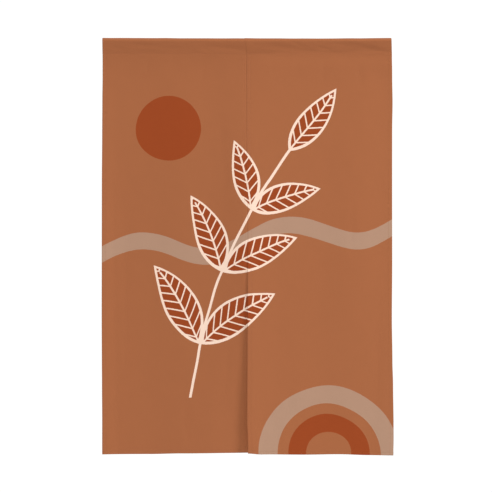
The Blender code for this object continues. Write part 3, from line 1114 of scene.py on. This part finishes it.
def turned_under(points, outward, flat):
    """The hidden end of the back layer: a half-round fold, then a run back up inside."""
    end, inside = points[0], -outward[0]
    down = unit(points[0] - points[1])
    turn = np.linspace(math.pi, 0, 6)[:-1, None, None]
    radius = LAYERS / 2
    fold = end + inside * radius * (1 + np.cos(turn)) + down * radius * np.sin(turn)
    runs = np.linspace(LAP_TURNED, LAP_CLEAR, 5)[:, None, None]
    run = end + inside * 2 * radius - down * runs
    rows = np.concatenate([run, fold[::-1]])[:-1]
    beyond = run_along(np.concatenate([rows, end[None]])[::-1])[:0:-1]
    across, up = np.broadcast_arrays(flat[0, :, 0], flat[0, :, 1] + beyond)
    return rows, np.stack([across, up], axis=-1)


cloth_heading, heading_size = pocket_sheet()
print("the pocket's strip was cut", [round(value, 3) for value in heading_size])

# %% [markdown]
# ## Stitches
#
# Along every sewn line the thread shows as short stitches, each a small bow that
# dives into the cloth at both ends. One bow is a four-sided tube whose rings shrink
# towards its ends. All the bows of a panel are worked out as one array and joined.

# %% Stitch meshes
STITCH_PITCH, STITCH_LENGTH, STITCH_RADIUS = 0.0032, 0.0025, 0.00017
STITCH_RINGS, STITCH_SIDES = 5, 4
BOW_LIFT, BOW_SUNK, BOW_TAPER = 0.9, 0.1, 0.8
AHEAD = 0.001  # a line's direction is taken over this distance


def bows(centres, along, out):
    """Points and quads of many stitches.

    At s from -1 to 1 along a stitch the middle of the tube stands out by
    radius (lift (1 - s^2) - sunk), and its own radius is radius sqrt(1 - taper s^4).
    """
    s = np.linspace(-1, 1, STITCH_RINGS)
    turn = np.arange(STITCH_SIDES) * 2 * math.pi / STITCH_SIDES
    aside = np.cross(along, out)
    rings = STITCH_RADIUS * np.sqrt(1 - BOW_TAPER * s**4)
    lift = STITCH_RADIUS * (BOW_LIFT * (1 - s**2) - BOW_SUNK)
    high = lift[:, None] + rings[:, None] * np.cos(turn)
    wide = rings[:, None] * np.sin(turn)
    run = np.broadcast_to((s * STITCH_LENGTH / 2)[:, None], high.shape)
    points = centres[:, None, None] + sum(
        part[None, :, :, None] * axis[:, None, None]
        for part, axis in ((run, along), (high, out), (wide, aside))
    )
    number = np.arange(STITCH_RINGS * STITCH_SIDES).reshape(STITCH_RINGS, STITCH_SIDES)
    beside = np.roll(number, -1, axis=1)
    sides = np.stack([number[:-1], beside[:-1], beside[1:], number[1:]], axis=-1).reshape(-1, 4)
    ends = np.stack([number[0, ::-1], number[-1]])
    one = np.concatenate([sides, ends])
    each = np.arange(len(centres))[:, None, None] * number.size
    return points.reshape(-1, 3), (one[None] + each).reshape(-1, 4)


def stitch_line(points, out):
    """Centres, directions and outward normals of the stitches along one sewn line.

    points and out are close samples of the line, and the stitches are evenly spaced
    by distance along it.
    """
    far = run_along(points)
    at = np.arange(STITCH_PITCH / 2, far[-1], STITCH_PITCH)
    centre, ahead, normal = (
        np.stack([np.interp(places, far, rows[:, k]) for k in range(3)], axis=1)
        for places, rows in ((at, points), (at + AHEAD, points), (at, out))
    )
    along = unit(ahead - centre)
    normal = unit(normal - along * (along * normal).sum(axis=1, keepdims=True))
    good = np.linalg.norm(ahead - centre, axis=1) > AHEAD / 2
    return centre[good], along[good], normal[good]


def stitch_object(name, lines):
    """One mesh of all the stitches on the given lines."""
    found = [stitch_line(points, out) for points, out in lines]
    points, quads = bows(*(np.concatenate(part) for part in zip(*found, strict=True)))
    mesh = quad_mesh(name, points, quads)
    mesh.materials.append(sewing_thread)
    print(name, sum(len(part[0]) for part in found), "stitches")
    return add_object(name, mesh)


# %% [markdown]
# ### Where the sewn lines run
#
# Each hem is held by one line of stitches that shows on both faces. A second line
# joins the panels over the lap, as far down as the top of the slit, and one long
# line closes the pocket.

# %% Sewn lines
SAMPLES = 900
HEM_BACK = CLOTH + 2 * LAYERS  # from a hem's front face to its back face
FIRST_STITCH = POCKET_DROP + 0.003  # the drop at which the lines down a panel begin
CLEAR_END = 0.001  # a line's stitches stop this far short of an edge
ROW_ABOVE = 0.0006  # the pocket's stitches lie on the row this far above the sewn line


def both_faces(side, x, drop):
    """A line on a panel's front face, and the same line where it comes out behind."""
    front = panel_surface(side, x, drop)
    behind = normals_of_field(side, x, drop)
    return [(front, -behind), (front + behind * HEM_BACK, behind)]


def panel_lines(side):
    """All the sewn lines of one panel."""
    _, hems, column = SIDES[side]
    drop = np.linspace(FIRST_STITCH, FULL_DROP, SAMPLES)
    start, end = panel_edges(side, drop)
    lines = []
    for x in (start + hems[0] - STITCH_INSET, end - hems[1] + STITCH_INSET):
        kept = drop < eased(BOTTOM, column, x) - CLEAR_END
        lines += both_faces(side, x[kept], drop[kept])
    x = np.linspace(start[-1] + CLEAR_END, end[-1] - CLEAR_END, SAMPLES)
    drop = eased(BOTTOM, column, x) - BOTTOM_HEM + STITCH_INSET
    return lines + both_faces(side, x, drop)


def joining_lines():
    """The seam over the lap: on the right panel's front, and on the left one's back."""
    drop = np.linspace(FIRST_STITCH, SEAM_END, SAMPLES)
    x = np.full(SAMPLES, JOIN_INSET)
    front, _ = both_faces("right", x, drop)
    _, back = both_faces("left", x, drop)
    return [front, back]


def pocket_lines():
    """The pocket's sewn line on its front layer, and on its back layer."""
    x = np.linspace(POCKET_ENDS[0] + CLEAR_END, POCKET_ENDS[1] - CLEAR_END, SAMPLES)
    points, from_foot, outward = pocket_grid(x)
    half = from_foot[0].mean() / 2
    relief = pocket_relief(x, from_foot, half)
    faces = points - outward * relief[..., None]
    front_row = np.abs(from_foot[:, 0] - SEAM_ROW - ROW_ABOVE).argmin()
    back_row = np.abs(points[: LEG_ROWS // 2, 0, 2] + POCKET_DROP).argmin()
    return [(faces[row], outward[row]) for row in (front_row, back_row)]


thread_left = stitch_object("thread_left", panel_lines("left"))
thread_right = stitch_object("thread_right", panel_lines("right") + joining_lines())
thread_heading = stitch_object("thread_heading", pocket_lines())

# %% [markdown]
# ## Each sheet in its solid's place
#
# Each sheet takes the place of its solid, which is hidden, and rides on the curtain's
# one body. The stitches go with their sheet.

# %% Pieces and sheets
for cloth, thread, node, slot, size, hangs_from in (
    (cloth_heading, thread_heading, "heading", "heading_cloth", heading_size, []),
    (cloth_left, thread_left, "panel_left", "left_cloth", left_size, [cloth_heading]),
    (cloth_right, thread_right, "panel_right", "right_cloth", right_size, [cloth_heading]),
):
    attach(cloth, "root")
    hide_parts(node)
    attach(thread, "root")

# %% [markdown]
# ## Floor, light and background
#
# The photograph is a cut-out on white. The curtain hangs 0.8 m above a pale floor
# that fades out at its rim, under an even white sky. One large soft lamp to the upper
# right gives the folds their light and dark sides, and throws the slit's shadow.

# %% Floor
FLOOR_HEIGHT, FLOOR_RADIUS = -2.0, 2.3
FLOOR_FADE = 0.9, 2.2  # from here to there it fades out


def make_floor():
    """A disc, as rings of points at radius r and angle a, pale and fading at its rim."""
    rings, angles = np.linspace(0.02, FLOOR_RADIUS, 12), np.linspace(0, 2 * math.pi, 97)
    radius, turn = np.meshgrid(rings, angles)
    height = np.full_like(radius, FLOOR_HEIGHT)
    points = np.stack([radius * np.cos(turn), radius * np.sin(turn), height], axis=-1)
    material, tree, shader = new_material("pale floor")
    place = add_node(tree, "TexCoord", {})["Object"]
    far = length_of(tree, *x_and_y(tree, place))
    alpha = fading(tree, far, *FLOOR_FADE, interpolation_type="SMOOTHSTEP")
    feed(tree, shader, {"Base Color": (0.70, 0.70, 0.69, 1), "Roughness": 0.8, "Alpha": alpha})
    floor = grid_object("floor", points[::-1], points[::-1, :, :2], [material])
    floor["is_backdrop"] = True


make_floor()

# %% Light
# Place, size and power of each soft lamp, all turned to the curtain's middle
LAMPS = (
    ("key lamp", (5.40, -3.00, 1.60), 2.2, 250),
    ("wide lamp above", (-0.60, -4.50, 7.10), 6.0, 380),
    ("wide lamp in front", (-2.00, -7.60, 0.00), 4.0, 265),
    ("wide lamp behind", (-1.50, 5.00, 1.50), 4.0, 160),
)
AIM = (0.0, 0.0, -0.6)
SKY, BACKDROP = 0.15, 1.05  # strength of the even light, and of the white that shows


def soft_lamp(name, place, size, watts):
    """A square lamp, which adds watts cos / (pi distance)^2 to the brightness of white."""
    lamp = bpy.data.lights.new(name, "AREA")
    lamp.size = size
    lamp.energy = watts
    piece = add_object(name, lamp)
    toward = Vector(AIM) - Vector(place)
    piece.location = place
    piece.rotation_euler = toward.to_track_quat("-Z", "Y").to_euler()
    share = watts * toward.normalized().y / (math.pi * toward.length) ** 2
    print(name, "adds", round(share, 3))


def white_sky():
    """A white background for the camera, and an even, softer light for everything else."""
    world = bpy.data.worlds.new("white sky")
    world.use_nodes = True
    bpy.context.scene.world = world
    tree = world.node_tree
    seen = add_node(tree, "LightPath", {})["Is Camera Ray"]
    strength = maths(tree, "MULTIPLY_ADD", seen, BACKDROP - SKY, SKY)
    feed(tree, tree.nodes["Background"], {"Color": (1, 1, 1, 1), "Strength": strength})
    bpy.context.scene.view_settings.view_transform = "Standard"


for lamp in LAMPS:
    soft_lamp(*lamp)
white_sky()

# %% Measure the dressed curtain
dressed_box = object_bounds()
spans = [round(high - low, 3) for low, high in zip(*dressed_box, strict=True)]
print("the dressed curtain spans", spans)
